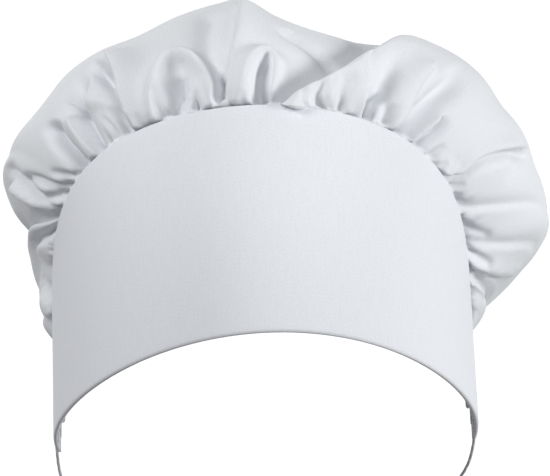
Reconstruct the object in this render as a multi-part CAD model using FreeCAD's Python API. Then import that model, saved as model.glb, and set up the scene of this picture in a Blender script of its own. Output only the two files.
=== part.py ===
import FreeCAD, Part
import math
import os

# Gathered kitchen cap in its worn shape, in millimetres.
#
# A crescent-shaped forehead band, stiff and double, carries a gathered crown along its rear
# edge. The crown's back hem is drawn in by an elastic in a folded casing, and a thin elastic
# cord joins the two tapered band ends round the nape.
# -Y is the front and +Z is up. Band and hem are nearly the same on both sides of the plane X = 0;
# the crown is gathered by hand, fuller in some places than in others.
# The origin is the middle of the head opening, level with the band's two ends.

os.makedirs("parts", exist_ok=True)

# ---------------------------------------------------------------- driving dimensions

# Head form: the inner face of the band's lining follows it.
HEAD_HALF_WIDTH = 83.6      # half the width of the head opening
HEAD_FRONT = 107.0          # from the widest place forward to the forehead
HEAD_BACK = 87.0            # from the widest place back to the nape
WIDEST_Y = 10.0             # how far behind the origin the head is widest
SIDE_TAPER = 0.025          # how much each side closes in per millimetre of height
DOME_FOOT = -10.0           # height where the dome starts
DOME_HEIGHT = 170.0         # height over which the dome closes
FRONT_POWER = 3.5           # how late the dome closes at the front and back
SIDE_POWER = 9.0            # how late the dome closes at the sides

# Band.
BAND_END_ANGLE = 97.0       # band ends, in degrees round from the front
BAND_END_HEIGHT = 1.0       # lower edge at the widest place
BAND_ARCH = 34.0            # rise of the lower edge from there to the forehead
BAND_ARCH_PEAK = 9.5        # further rise of its middle
BAND_ARCH_SKEW = 1.0        # how much higher it runs at the wearer's left than at the right
SEAM_END_HEIGHT = 5.0       # crown seam at the band ends
SEAM_RISE = 126.5           # rise of the crown seam from there to the top
SEAM_SHOULDER = 2.5         # how much fuller than an ellipse the seam's shoulders are

# Crown and its back hem.
CROWN_LAST_TURN = 85.0      # seam turn, in degrees, where the crown starts above the casing
CROWN_HEM_ANGLE = 79.0      # where it starts on the casing, in degrees round from the back
HEM_END_ANGLE = 82.5        # casing ends, in degrees round from the back
HEM_FOOT = -3.5             # lower edge of the hem, at the sides
HEM_RISE = 52.0             # rise of the hem from the sides to the back
HEM_WIDTH = 12.0            # width of the folded casing
HEM_EASE = 2.2              # from the head form to the middle of the casing
PUFF = 82.0                 # how far the crown stands off its chord at the top
PUFF_POWER = 1.15           # how soon the puff dies away down the sides
PUFF_ENDS = 1.2             # the same stand-off at the band ends
PUFF_LAST_TURN = 80.0       # seam turn, in degrees, past which there is no puff
PUFF_FADE = 12.0            # turn over which it fades out before that
PUFF_STEEPNESS = 0.75       # under 1, the crown rises steeply from its seams
# Fullness against an even puff, at places along the seam in degrees of turn.
FULLNESS = [
    (-85, 0.05), (-76, 0.10), (-68, 0.42), (-56, 0.50), (-47, 0.92), (-38, 0.92), (-28, 0.93), (-18, 0.94),
    (-8, 0.97), (-1, 0.98), (7, 0.84), (14, 0.83), (22, 0.98), (32, 1.06), (44, 1.14), (54, 1.24),
    (61, 1.24), (68, 0.80), (76, 0.15), (85, 0.05),
]

# Cloth and trims.
CLOTH = 0.5                 # twill of the crown, band, lining and casing
STIFFENER = 0.6             # woven interfacing
GAP = 0.1                   # air between two layers
TOWELLING = 1.0
SWEATBAND_ANGLE = 58.0      # sweatband ends, in degrees each side of the front
SWEATBAND_WIDTH = 26.0
SWEATBAND_LIFT = 3.0        # above the band's lower edge
BINDING_WIDTH = 8.0
BINDING_ROOM = 1.2          # between the walls of the folded binding
ELASTIC_WIDTH = 7.0
ELASTIC_THICK = 0.8
LABEL_THICK = 0.25
LABEL_ANGLE = 62.0          # the labels hang inside, at the wearer's left
LABEL_TOP = 88.0

# Sewing thread.
THREAD = 0.4                # diameter
STITCH_LENGTH = 2.4
STITCH_PITCH = 3.2          # from one stitch to the next
TACK_STITCHES = 9
TACK_LENGTH = 5.0
TACK_PITCH = 0.55

# Nape cord: its route from the band's right end, under the back of the head, to its left end.
CORD_DIAMETER = 1.3
CORD_ROUTE = [
    (-84.9, 22.6, 0.6),
    (-85.2, 32.0, -8.5),
    (-83.5, 43.5, -17.5),
    (-76.0, 58.5, -26.5),
    (-62.0, 73.5, -34.0),
    (-43.5, 86.0, -39.5),
    (-22.0, 93.8, -42.5),
    (1.5, 96.6, -43.5),
    (24.5, 93.2, -42.6),
    (44.5, 84.6, -39.6),
    (60.5, 71.5, -34.8),
    (72.0, 57.0, -28.0),
    (79.2, 43.5, -19.5),
    (83.6, 32.0, -10.0),
    (84.6, 22.6, 0.6),
]
CORD_ARC_SHARE = 0.45       # share of the shorter run that each arc takes

RULED_THE_SAME_WAY = 1      # how a ruled surface pairs the starts of its two edges

# Offsets from the head form of the band's layers.
LINING_FACE = CLOTH
STIFFENER_BACK = LINING_FACE + GAP
STIFFENER_FACE = STIFFENER_BACK + STIFFENER
OUTER_BACK = STIFFENER_FACE + GAP
OUTER_FACE = OUTER_BACK + CLOTH


# ---------------------------------------------------------------- curves and sheets

def vector(x, y, z):
    return FreeCAD.Vector(x, y, z)


def mix(a, b, share):
    return a + (b - a) * share


def unit(v):
    return v * (1 / v.Length)


def smooth(share):
    """0 below 0, 1 above 1, and a smooth step between."""
    t = min(1.0, max(0.0, share))
    return t * t * (3 - 2 * t)


def dome(height, power):
    """Share of the head form's girth that is left at a height."""
    rise = max(0.0, (height - DOME_FOOT) / DOME_HEIGHT)
    return math.sqrt(1 - rise ** power)


def fullness(turn):
    """Fullness of the crown at a place along the seam, eased from one pair to the next."""
    for (start, low), (end, high) in zip(FULLNESS, FULLNESS[1:]):
        if turn <= end:
            return mix(low, high, smooth((turn - start) / (end - start)))
    return FULLNESS[-1][1]


def head_point(angle, height):
    """A point of the head form, at an angle in degrees round from the front."""
    turn = math.radians(angle)
    half_width = (HEAD_HALF_WIDTH - SIDE_TAPER * height) * dome(height, SIDE_POWER)
    depth = HEAD_FRONT if math.cos(turn) > 0 else HEAD_BACK
    depth *= dome(height, FRONT_POWER)
    return vector(half_width * math.sin(turn), WIDEST_Y - depth * math.cos(turn), height)


def band_low_height(angle):
    """Height of the band's lower edge."""
    share = math.cos(math.radians(angle))
    skew = BAND_ARCH_SKEW * math.sin(math.radians(2 * angle))
    return BAND_END_HEIGHT + BAND_ARCH * share + BAND_ARCH_PEAK * share * max(0.0, share) + skew


def seam_place(turn):
    """Angle and height of the crown seam; turn runs from -90 to 90 degrees, end to end."""
    t = math.radians(turn)
    height = SEAM_END_HEIGHT + SEAM_RISE * math.cos(t) + SEAM_SHOULDER * math.sin(2 * t) ** 2
    return BAND_END_ANGLE * math.sin(t), height


def band_point(u, v):
    """The band: u from end to end, v from the lower edge to the crown seam."""
    turn = 180 * u - 90
    seam_angle, seam_height = seam_place(turn)
    low_angle = mix(BAND_END_ANGLE * turn / 90, seam_angle, 0.8)
    angle = mix(low_angle, seam_angle, v)
    return head_point(angle, mix(band_low_height(low_angle), seam_height, v))


def hem_point(u, v):
    """The casing's middle: u from end to end, v from its fold to its open edge."""
    from_back = HEM_END_ANGLE * (2 * u - 1)
    turn = math.radians(from_back)
    height = HEM_FOOT + HEM_RISE * math.cos(turn) + HEM_WIDTH * v
    return head_point(180 - from_back, height) + vector(math.sin(turn), math.cos(turn), 0) * HEM_EASE


def crown_point(u, v):
    """The crown: u from end to end, v from the band seam over the head to the casing."""
    turn = CROWN_LAST_TURN * (2 * u - 1)
    t = math.radians(turn)
    along = (turn + 90) / 180
    seam = band_point(along, 1) + outward(band_point, along, 1) * (OUTER_FACE / 2)
    seam += unit(band_point(along, 1) - band_point(along, 0.9)) * (CLOTH / 2 + GAP)
    casing = hem_point(0.5 + (u - 0.5) * CROWN_HEM_ANGLE / HEM_END_ANGLE, 1)
    casing += vector(0, 0, CLOTH / 2 + GAP)
    share = (1 - math.cos(math.pi * v)) / 2
    away = unit(vector(math.sin(t), mix(-0.1, 1.15, share), math.cos(t) * mix(1.0, 0.3, share)))
    full = mix(fullness(turn), 1.0, smooth(2 * share - 1) * smooth((62 - abs(turn)) / 14))
    amount = PUFF_ENDS + PUFF * max(0.0, math.cos(t)) ** PUFF_POWER * full
    amount = mix(PUFF_ENDS, amount, smooth((PUFF_LAST_TURN - abs(turn)) / PUFF_FADE))
    return mix(seam, casing, share) + away * amount * math.sin(math.pi * share) ** PUFF_STEEPNESS


def folded(edge_sheet, width, room):
    """A strip folded lengthwise round an edge, as a sheet with v from rim to rim.

    edge_sheet gives the place of the fold's middle plane, with v from the fold to the rim.
    """
    straight = width - room / 2
    whole = 2 * straight + math.pi * room / 2

    def sheet(u, v):
        run = v * whole
        if run < straight:
            height, off = width - run, room / 2
        elif run > whole - straight:
            height, off = width - (whole - run), -room / 2
        else:
            turn = (run - straight) / (room / 2)
            height = room / 2 * (1 - math.sin(turn))
            off = room / 2 * math.cos(turn)
        share = height / width
        return edge_sheet(u, share) + outward(edge_sheet, u, share) * off

    return sheet


def binding_point(u, v):
    """Middle plane of the seam's binding: v from its fold, below, to the crown seam."""
    inset = 0.03
    u = mix(inset, 1 - inset, u)
    top = band_point(u, 1)
    down = band_point(u, 0.8) - top
    reach = min(BINDING_WIDTH, 0.8 * (band_point(u, 0) - top).Length)
    off = -(GAP + CLOTH + BINDING_ROOM / 2)
    return top + unit(down) * reach * (1 - v) + outward(band_point, u, 0.9) * off


def sweatband_point(u, v):
    """The forehead strip, a little above the band's lower edge."""
    angle = SWEATBAND_ANGLE * (2 * u - 1)
    low = band_low_height(angle) + SWEATBAND_LIFT
    return head_point(angle, low + SWEATBAND_WIDTH * v)


def label_sheet(angle, width, drop):
    """A tab that hangs inside the band from just under the binding."""
    def sheet(u, v):
        turn = angle + math.degrees(width / HEAD_HALF_WIDTH) * (u - 0.5)
        return head_point(turn, LABEL_TOP - drop * (1 - v))

    return sheet


def outward(sheet, u, v):
    """Unit normal of a sheet, pointing away from the head."""
    step = 1e-3
    u0, u1 = max(0, u - step), min(1, u + step)
    v0, v1 = max(0, v - step), min(1, v + step)
    return unit((sheet(u1, v) - sheet(u0, v)).cross(sheet(u, v1) - sheet(u, v0)))


# ---------------------------------------------------------------- solids

def layer(sheet, inner, outer, across, along, u_range=(0, 1), v_range=(0, 1)):
    """A closed solid between two offsets of a sheet, with ruled rims."""
    skins = []
    for offset in (inner, outer):
        grid = []
        for i in range(across + 1):
            u = mix(u_range[0], u_range[1], i / across)
            row = []
            for j in range(along + 1):
                v = mix(v_range[0], v_range[1], j / along)
                row.append(sheet(u, v) + outward(sheet, u, v) * offset)
            grid.append(row)
        skin = Part.BSplineSurface()
        skin.interpolate(grid)
        skins.append(skin)
    faces = [skin.toShape() for skin in skins]
    u_first, u_last, v_first, v_last = skins[0].bounds()
    rims = [[skin.uIso(end).toShape() for skin in skins] for end in (u_first, u_last)]
    rims += [[skin.vIso(end).toShape() for skin in skins] for end in (v_first, v_last)]
    for first, second in rims:
        faces.append(Part.makeRuledSurface(first, second, RULED_THE_SAME_WAY))
    shell = Part.makeShell(faces)
    shell.sewShape()
    solid = Part.makeSolid(shell)
    if solid.Volume < 0:
        solid.reverse()
    return solid


def stitch_row(sheet, v, offset, u_range=(0.01, 0.99)):
    """Separate stitches lying on a sheet along one line of constant v."""
    samples = 400
    stitches = []
    run = 0.0
    last = sheet(u_range[0], v)
    for i in range(1, samples + 1):
        u = mix(u_range[0], u_range[1], i / samples)
        here = sheet(u, v)
        run += (here - last).Length
        if run >= STITCH_PITCH:
            run = 0.0
            along = unit(sheet(min(1, u + 1e-3), v) - sheet(max(0, u - 1e-3), v))
            foot = here + outward(sheet, u, v) * offset - along * (STITCH_LENGTH / 2)
            stitches.append(Part.makeCylinder(THREAD / 2, STITCH_LENGTH, foot, along))
        last = here
    return Part.makeCompound(stitches)


def bar_tack(sheet, u, v, offset):
    """Close parallel stitches across the end of a strip."""
    step = 1e-3
    along = unit(sheet(min(1, u + step), v) - sheet(max(0, u - step), v))
    up = unit(sheet(u, min(1, v + step)) - sheet(u, max(0, v - step)))
    middle = sheet(u, v) + outward(sheet, u, v) * offset
    stitches = []
    for i in range(TACK_STITCHES):
        place = middle + along * TACK_PITCH * (i - (TACK_STITCHES - 1) / 2)
        stitches.append(Part.makeCylinder(THREAD / 2, TACK_LENGTH, place - up * (TACK_LENGTH / 2), up))
    return Part.makeCompound(stitches)


def cord_path(points):
    """Straight runs joined by tangent arcs through a route's points."""
    edges = []
    radii = []
    start = points[0]
    for before, corner, after in zip(points, points[1:], points[2:]):
        into, out = corner - before, after - corner
        tangent = CORD_ARC_SHARE * min(into.Length, out.Length)
        half_turn = into.getAngle(out) / 2
        into, out = unit(into), unit(out)
        radius = tangent / math.tan(half_turn)
        bisector = unit(out - into)
        centre = corner + bisector * (radius / math.cos(half_turn))
        arc_end = corner + out * tangent
        edges.append(Part.LineSegment(start, corner - into * tangent).toShape())
        arc = Part.Arc(corner - into * tangent, centre - bisector * radius, arc_end)
        edges.append(arc.toShape())
        radii.append(round(radius, 1))
        start = arc_end
    edges.append(Part.LineSegment(start, points[-1]).toShape())
    return Part.Wire(edges), radii


def cord_tube(points, diameter):
    """A round tube along a route; prints its radii and a check of its volume."""
    path, radii = cord_path(points)
    circle = Part.makeCircle(diameter / 2, points[0], points[1] - points[0])
    tube = path.makePipeShell([Part.Wire(circle)], True, True)
    expected = math.pi * (diameter / 2) ** 2 * path.Length
    print("cord length", round(path.Length, 1), "radii", radii)
    print("cord volume over section times length", round(tube.Volume / expected, 4))
    return tube


# ---------------------------------------------------------------- pieces

def band_pieces():
    """Outer cloth, stiffener and lining, turned at the lower edge and stitched there inside."""
    inside = -(THREAD / 2 + 0.02)
    return {
        "band_lining": layer(band_point, 0, LINING_FACE, 40, 8),
        "band_interfacing": layer(
            band_point, STIFFENER_BACK, STIFFENER_FACE, 40, 8, (0.03, 0.97), (0.02, 0.97)
        ),
        "band_outer": layer(band_point, OUTER_BACK, OUTER_FACE, 40, 8),
        "lower_edge_stitching": stitch_row(band_point, 0.018, inside, (0.08, 0.92)),
    }


def sweatband_pieces():
    """Absorbent strip on the lining at the forehead, held by two rows of stitches."""
    inner = -GAP - TOWELLING
    inside = inner - THREAD / 2 - 0.02
    return {
        "sweatband": layer(sweatband_point, inner, -GAP, 24, 4),
        "sweatband_upper_stitching": stitch_row(sweatband_point, 0.93, inside),
        "sweatband_lower_stitching": stitch_row(sweatband_point, 0.07, inside),
    }


def crown_pieces():
    """The gathered crown, drawn as the smooth envelope of its folds."""
    return {"crown": layer(crown_point, -CLOTH / 2, CLOTH / 2, 48, 24)}


def binding_pieces():
    """Bias tape folded over the raw edges of the crown seam, inside, with the rows that hold it.

    The row nearer the seam is the one that joins the crown to the band.
    """
    tape = folded(binding_point, BINDING_WIDTH, BINDING_ROOM)
    inside = -(BINDING_ROOM / 2 + CLOTH / 2 + THREAD / 2 + 0.02)
    return {
        "seam_binding": layer(tape, -CLOTH / 2, CLOTH / 2, 40, 14),
        "crown_seam_stitching": stitch_row(binding_point, 0.94, inside),
        "binding_stitching": stitch_row(binding_point, 0.65, inside),
    }


def hem_pieces():
    """Folded casing along the crown's back hem, with its elastic, stitches and end tacks."""
    room = ELASTIC_THICK + 4 * GAP
    casing = folded(hem_point, HEM_WIDTH, room)
    outside = room / 2 + CLOTH / 2 + THREAD / 2 + 0.02
    low = (HEM_WIDTH - ELASTIC_WIDTH) / 2 / HEM_WIDTH
    return {
        "hem_casing": layer(casing, -CLOTH / 2, CLOTH / 2, 36, 16),
        "hem_elastic": layer(
            hem_point, -ELASTIC_THICK / 2, ELASTIC_THICK / 2, 36, 3, (0.01, 0.99), (low, 1 - low)
        ),
        "hem_stitching": stitch_row(hem_point, 0.9, outside),
        "elastic_tack_right": bar_tack(hem_point, 0.02, 0.5, outside),
        "elastic_tack_left": bar_tack(hem_point, 0.98, 0.5, outside),
    }


def label_pieces():
    """Blank care and size labels inside the band, with the stitches across their tops."""
    face = -(GAP + CLOTH)
    inside = face - LABEL_THICK - THREAD / 2 - 0.02
    care = label_sheet(LABEL_ANGLE, 20.0, 32.0)
    size = label_sheet(LABEL_ANGLE + 13.0, 12.0, 14.0)
    rows = [stitch_row(tab, 0.94, inside, (0.02, 0.98)) for tab in (care, size)]
    return {
        "care_label": layer(care, face - LABEL_THICK, face, 6, 6),
        "size_label": layer(size, face - LABEL_THICK, face, 6, 6),
        "label_stitching": Part.makeCompound(rows),
    }


def nape_cord_pieces():
    """Round elastic cord from one band end to the other, and the bar tack that holds each end."""
    inside = -(THREAD / 2 + 0.02)
    return {
        "nape_cord": cord_tube([vector(*place) for place in CORD_ROUTE], CORD_DIAMETER),
        "cord_tack_right": bar_tack(band_point, 0.03, 0.5, inside),
        "cord_tack_left": bar_tack(band_point, 0.97, 0.5, inside),
    }


MAKERS = (
    band_pieces,
    sweatband_pieces,
    crown_pieces,
    binding_pieces,
    hem_pieces,
    label_pieces,
    nape_cord_pieces,
)

PIECES = {}
for make in MAKERS:
    PIECES.update(make())

for name, shape in PIECES.items():
    print(name, "valid" if shape.isValid() else "NOT VALID", len(shape.Solids), round(shape.Volume, 1))
    shape.exportStep(f"parts/{name}.step")
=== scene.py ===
import math
import random

import bmesh
import bpy
import numpy as np
from mathutils import Matrix, Vector


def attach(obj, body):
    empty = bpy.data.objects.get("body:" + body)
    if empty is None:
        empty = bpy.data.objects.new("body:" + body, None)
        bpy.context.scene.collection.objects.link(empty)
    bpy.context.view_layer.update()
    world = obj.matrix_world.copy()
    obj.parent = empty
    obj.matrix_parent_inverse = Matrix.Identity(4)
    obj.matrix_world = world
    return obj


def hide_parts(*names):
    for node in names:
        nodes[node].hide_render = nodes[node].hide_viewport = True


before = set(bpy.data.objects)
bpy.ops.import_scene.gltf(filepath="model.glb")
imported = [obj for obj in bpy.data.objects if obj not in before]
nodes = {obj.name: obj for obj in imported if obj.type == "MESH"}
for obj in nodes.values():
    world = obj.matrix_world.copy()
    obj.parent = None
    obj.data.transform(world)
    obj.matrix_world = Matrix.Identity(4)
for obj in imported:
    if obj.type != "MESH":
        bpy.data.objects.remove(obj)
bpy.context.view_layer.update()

scene = bpy.context.scene
MM = 0.001


# ---------------------------------------------------------------- camera
# Level with the middle of the cap, two metres in front of it, with a narrow view.
# The cap sits turned two degrees in the frame, its own left side up.

CAMERA_REACH = 2000 * MM
VIEW_WIDTH = 220 * MM
AIM = Vector((6.3, 0, 80.6)) * MM
ROLL = math.radians(2)

lens = bpy.data.cameras.new("camera")
lens.sensor_width = 36
lens.lens = lens.sensor_width * CAMERA_REACH / VIEW_WIDTH
lens.clip_start = 0.05
camera = bpy.data.objects.new("camera", lens)
camera.matrix_world = (
    Matrix.Translation(AIM - Vector((0, CAMERA_REACH, 0)))
    @ Matrix.Rotation(ROLL, 4, "Y")
    @ Matrix.Rotation(math.radians(90), 4, "X")
)
scene.collection.objects.link(camera)
scene.camera = camera
scene.view_settings.view_transform = "Standard"


# ---------------------------------------------------------------- nape cord
# Thin round hat elastic, a braided cotton sleeve over a rubber core.
# Each end is tucked into a tip of the band and held there by a bar tack.

CORD_DIAMETER = 1.3
CORD_ROUTE = [
    (-84.9, 22.6, 0.6),
    (-85.2, 32.0, -8.5),
    (-83.5, 43.5, -17.5),
    (-76.0, 58.5, -26.5),
    (-62.0, 73.5, -34.0),
    (-43.5, 86.0, -39.5),
    (-22.0, 93.8, -42.5),
    (1.5, 96.6, -43.5),
    (24.5, 93.2, -42.6),
    (44.5, 84.6, -39.6),
    (60.5, 71.5, -34.8),
    (72.0, 57.0, -28.0),
    (79.2, 43.5, -19.5),
    (83.6, 32.0, -10.0),
    (84.6, 22.6, 0.6),
]
CORD_RINGS = 900
CORD_SIDES = 24
BRAID_STRANDS = 6
BRAID_PITCH = 4.8       # along the cord, from one strand to the next
BRAID_RELIEF = 0.14


def srgb(hexcode):
    """Linear colour of an sRGB hex value."""
    parts = [int(hexcode[i:i + 2], 16) / 255 for i in (0, 2, 4)]
    linear = [c / 12.92 if c <= 0.04045 else ((c + 0.055) / 1.055) ** 2.4 for c in parts]
    return (*linear, 1.0)


def add_node(tree, kind, links=(), **settings):
    """A node with its settings; links pairs an input's name or place with an output or a value."""
    made = tree.nodes.new(kind)
    for key, value in settings.items():
        setattr(made, key, value)
    for socket, source in dict(links).items():
        if isinstance(source, bpy.types.NodeSocket):
            tree.links.new(source, made.inputs[socket])
        else:
            made.inputs[socket].default_value = source
    return made


def new_material(name):
    """A material with its node tree emptied, and the tree."""
    made = bpy.data.materials.new(name)
    made.use_nodes = True
    made.node_tree.nodes.clear()
    return made, made.node_tree


def finish_material(tree, **shader):
    """The Principled shader with these inputs, wired to the output."""
    inputs = {name.replace("_", " "): value for name, value in shader.items()}
    surface = add_node(tree, "ShaderNodeBsdfPrincipled", inputs)
    add_node(tree, "ShaderNodeOutputMaterial", {"Surface": surface.outputs["BSDF"]})


def route_points(points):
    """Points of the smooth NURBS line through a route, in metres."""
    line = bpy.data.curves.new("route", "CURVE")
    line.dimensions = "3D"
    line.resolution_u = 24
    spline = line.splines.new("NURBS")
    spline.points.add(len(points) - 1)
    for point, place in zip(spline.points, points):
        point.co = (*(Vector(place) * MM), 1)
    spline.order_u = 3
    spline.use_endpoint_u = True
    holder = bpy.data.objects.new("route", line)
    scene.collection.objects.link(holder)
    mesh = bpy.data.meshes.new_from_object(holder)
    found = [v.co.copy() for v in mesh.vertices]
    bpy.data.objects.remove(holder)
    bpy.data.meshes.remove(mesh)
    return found


def link_mesh(name, bm):
    """Turns a bmesh into a smooth object at the origin that rides with the cap."""
    for face in bm.faces:
        face.smooth = True
    mesh = bpy.data.meshes.new(name)
    bm.to_mesh(mesh)
    bm.free()
    made = bpy.data.objects.new(name, mesh)
    scene.collection.objects.link(made)
    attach(made, "root")
    return made


def along_line(points, count):
    """Evenly spaced points of a line, as an array in mm, with its length."""
    line = np.array([p / MM for p in points])
    steps = np.linalg.norm(np.diff(line, axis=0), axis=1)
    run = np.concatenate([[0], np.cumsum(steps)])
    wanted = np.linspace(0, run[-1], count)
    return np.stack([np.interp(wanted, run, line[:, k]) for k in range(3)], axis=1), run[-1]


def braided_cord(name, line, diameter):
    """A tube along a line, its skin raised where the braid's strands cross over."""
    centres, length = along_line(line, CORD_RINGS + 1)
    tangents = np.gradient(centres, axis=0)
    tangents /= np.linalg.norm(tangents, axis=1)[:, None]
    side = np.cross(tangents, (0, 0, 1.0))
    side /= np.linalg.norm(side, axis=1)[:, None]
    up = np.cross(side, tangents)
    bm = bmesh.new()
    bmesh.ops.create_grid(bm, x_segments=CORD_RINGS, y_segments=CORD_SIDES, size=0.5)
    uv = bm.loops.layers.uv.new("UVMap")
    for face in bm.faces:
        for loop in face.loops:
            loop[uv].uv = ((loop.vert.co.x + 0.5) * length, (loop.vert.co.y + 0.5) * math.pi * diameter)
    for vert in bm.verts:
        ring = round((vert.co.x + 0.5) * CORD_RINGS)
        turn = (vert.co.y + 0.5) * math.tau
        wind = math.tau * ring / CORD_RINGS * length / BRAID_PITCH
        right = math.cos(BRAID_STRANDS / 2 * turn + wind)
        left = math.cos(BRAID_STRANDS / 2 * turn - wind)
        radius = diameter / 2 - BRAID_RELIEF * (1 - max(right, left)) / 2
        off = side[ring] * math.cos(turn) + up[ring] * math.sin(turn)
        vert.co = Vector(centres[ring] + off * radius) * MM
    bmesh.ops.remove_doubles(bm, verts=bm.verts, dist=0.01 * MM)
    ends = [e for e in bm.edges if e.is_boundary]
    bmesh.ops.holes_fill(bm, edges=ends, sides=CORD_SIDES)
    bmesh.ops.recalc_face_normals(bm, faces=bm.faces)
    return link_mesh(name, bm)


# Bleached cotton yarn: matt, with darker and lighter fibres every 0.4 mm.
braid, tree = new_material("braided_cotton_sleeve")
coords = add_node(tree, "ShaderNodeTexCoord")
fibres = add_node(tree, "ShaderNodeTexNoise", {"Vector": coords.outputs["UV"], "Scale": 2.5, "Detail": 3.0})
tint = add_node(
    tree, "ShaderNodeMix", {0: fibres.outputs["Fac"], 6: srgb("B9BCC0"), 7: srgb("DFE1E4")}, data_type="RGBA",
)
bump = add_node(
    tree, "ShaderNodeBump", {"Height": fibres.outputs["Fac"], "Strength": 0.4, "Distance": 0.1 * MM},
)
finish_material(tree, Base_Color=tint.outputs[2], Roughness=0.85, Normal=bump.outputs["Normal"])

cord_line = route_points(CORD_ROUTE)
cord = braided_cord("nape_cord_braid", cord_line, CORD_DIAMETER)
cord.data.materials.append(braid)
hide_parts("nape_cord")


# ---------------------------------------------------------------- floor, backdrop and light
# A pale round sweep, floor and wall in one, lit evenly to white and well away from the cap.
# It is open for 20 mm round its middle, straight below the cap.
# One soft light stands low at the right, one at the left, and weak ones above the front and behind.

FLOOR_HEIGHT = -4000 * MM
SWEEP = [(0.02, 0.0), (3.8, 0.0), (4.6, 0.2), (5.0, 0.9), (5.1, 9.0)]   # radius and height, in metres
CAP_MIDDLE = (0, 0, 0.08)
AMBIENT = 0.17

bm = bmesh.new()
edge = [bm.verts.new((x, 0, z + FLOOR_HEIGHT)) for x, z in SWEEP]
rails = [bm.edges.new(pair) for pair in zip(edge, edge[1:])]
bmesh.ops.spin(
    bm, geom=edge + rails, cent=(0, 0, 0), axis=(0, 0, 1), angle=math.tau, steps=48, use_merge=True
)
bmesh.ops.recalc_face_normals(bm, faces=bm.faces)
# Its good side is the inside.
if sum(face.normal.z for face in bm.faces) < 0:
    bmesh.ops.reverse_faces(bm, faces=bm.faces)
for face in bm.faces:
    face.smooth = True
mesh = bpy.data.meshes.new("sweep")
bm.to_mesh(mesh)
bm.free()
sweep = bpy.data.objects.new("sweep", mesh)
scene.collection.objects.link(sweep)
rounding = sweep.modifiers.new("rounding", "SUBSURF")
rounding.levels = rounding.render_levels = 2
# White paper, lit from all round, so it glows evenly and shows no edge.
paper, tree = new_material("seamless_paper")
finish_material(
    tree, Base_Color=srgb("FAFAFA"), Roughness=0.9, Emission_Color=srgb("FFFFFF"), Emission_Strength=0.8
)
mesh.materials.append(paper)
# Black flags stand in front of the sweep, so its white throws no light back onto the cap.
sweep.visible_diffuse = False


def soft_light(name, place, target, size, power):
    """A square area light that faces a target, sizes in metres and power in watts."""
    data = bpy.data.lights.new(name, "AREA")
    data.size = size
    data.energy = power
    made = bpy.data.objects.new(name, data)
    made.location = place
    made.rotation_euler = (Vector(target) - Vector(place)).to_track_quat("-Z", "Y").to_euler()
    scene.collection.objects.link(made)


soft_light("key", (2.2, -0.8, 0.15), CAP_MIDDLE, 0.73, 38)
soft_light("top_front", (0.5, -1.8, 1.5), CAP_MIDDLE, 0.9, 15)
soft_light("side_fill", (-1.8, -1.3, 1.45), CAP_MIDDLE, 1.0, 37)
soft_light("back_light", (-0.8, 2.4, 1.3), CAP_MIDDLE, 1.2, 13)
world = bpy.data.worlds.new("studio")
world.use_nodes = True
world.node_tree.nodes["Background"].inputs["Color"].default_value = srgb("F4F6FA")
world.node_tree.nodes["Background"].inputs["Strength"].default_value = AMBIENT
scene.world = world


# ---------------------------------------------------------------- forehead band
# Outer cloth of pressed poly-cotton twill over stiff interfacing, and a plain cotton lining.
# The two are sewn together along the lower edge and turned, so that edge is a clean roll.

# The head form that the band follows, in mm.
HEAD_HALF_WIDTH = 83.6
HEAD_FRONT = 107.0      # from the widest place forward to the forehead
HEAD_BACK = 87.0        # and back to the nape
WIDEST_Y = 10.0
SIDE_TAPER = 0.025      # how much each side closes in per millimetre of height
DOME_FOOT = -10.0
DOME_HEIGHT = 170.0
FRONT_POWER = 3.5       # how late the dome closes at the front and back
SIDE_POWER = 9.0        # and at the sides
# The band on it.
BAND_END_ANGLE = 97.0   # in degrees round from the front
BAND_END_HEIGHT = 1.0
BAND_ARCH = 34.0        # rise of the lower edge from there to the forehead
BAND_ARCH_PEAK = 9.5
BAND_ARCH_SKEW = 1.0
SEAM_END_HEIGHT = 5.0
SEAM_RISE = 126.5
SEAM_SHOULDER = 2.5
BAND_THICK = 1.9        # all its layers
BAND_ROLL = 0.9         # radius of its turned edges
BAND_LOWER_ROLL = 0.06  # share of the outer cloth that goes round the lower edge
BAND_UPPER_ROLL = 0.96  # and where it starts to go over the upper edge
BAND_GIRTH = 390.0      # from end to end
BAND_END_ROLL = 1.5     # length over which the layers close at the two ends
BAND_FLAT = (400, 95)
TWILL_THICK = 0.4
LINING_THICK = 0.35
LINING_INSET = 0.4      # the lining's face, from the head form


def mix(a, b, share):
    """A share of the way from a to b."""
    return a + (b - a) * share


def smooth_step(share):
    """0 below 0, 1 above 1, and a smooth step between."""
    t = np.clip(share, 0, 1)
    return t * t * (3 - 2 * t)


def unit(vectors):
    """Each vector at length 1."""
    return vectors / np.maximum(np.linalg.norm(vectors, axis=-1, keepdims=True), 1e-9)


def dome(height, power):
    """Share of the head form's girth that is left at a height."""
    rise = np.clip((height - DOME_FOOT) / DOME_HEIGHT, 0, 1)
    return np.sqrt(np.maximum(1 - rise ** power, 0))


def head_point(angle, height):
    """Points of the head form, in mm, at angles in degrees round from the front."""
    turn = np.radians(angle)
    half_width = (HEAD_HALF_WIDTH - SIDE_TAPER * height) * dome(height, SIDE_POWER)
    depth = np.where(np.cos(turn) > 0, HEAD_FRONT, HEAD_BACK) * dome(height, FRONT_POWER)
    return np.stack([half_width * np.sin(turn), WIDEST_Y - depth * np.cos(turn), height + 0 * turn], axis=-1)


def band_low_height(angle):
    """Height of the band's lower edge."""
    share = np.cos(np.radians(angle))
    skew = BAND_ARCH_SKEW * np.sin(np.radians(2 * angle))
    return BAND_END_HEIGHT + BAND_ARCH * share + BAND_ARCH_PEAK * share * np.maximum(share, 0) + skew


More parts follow.
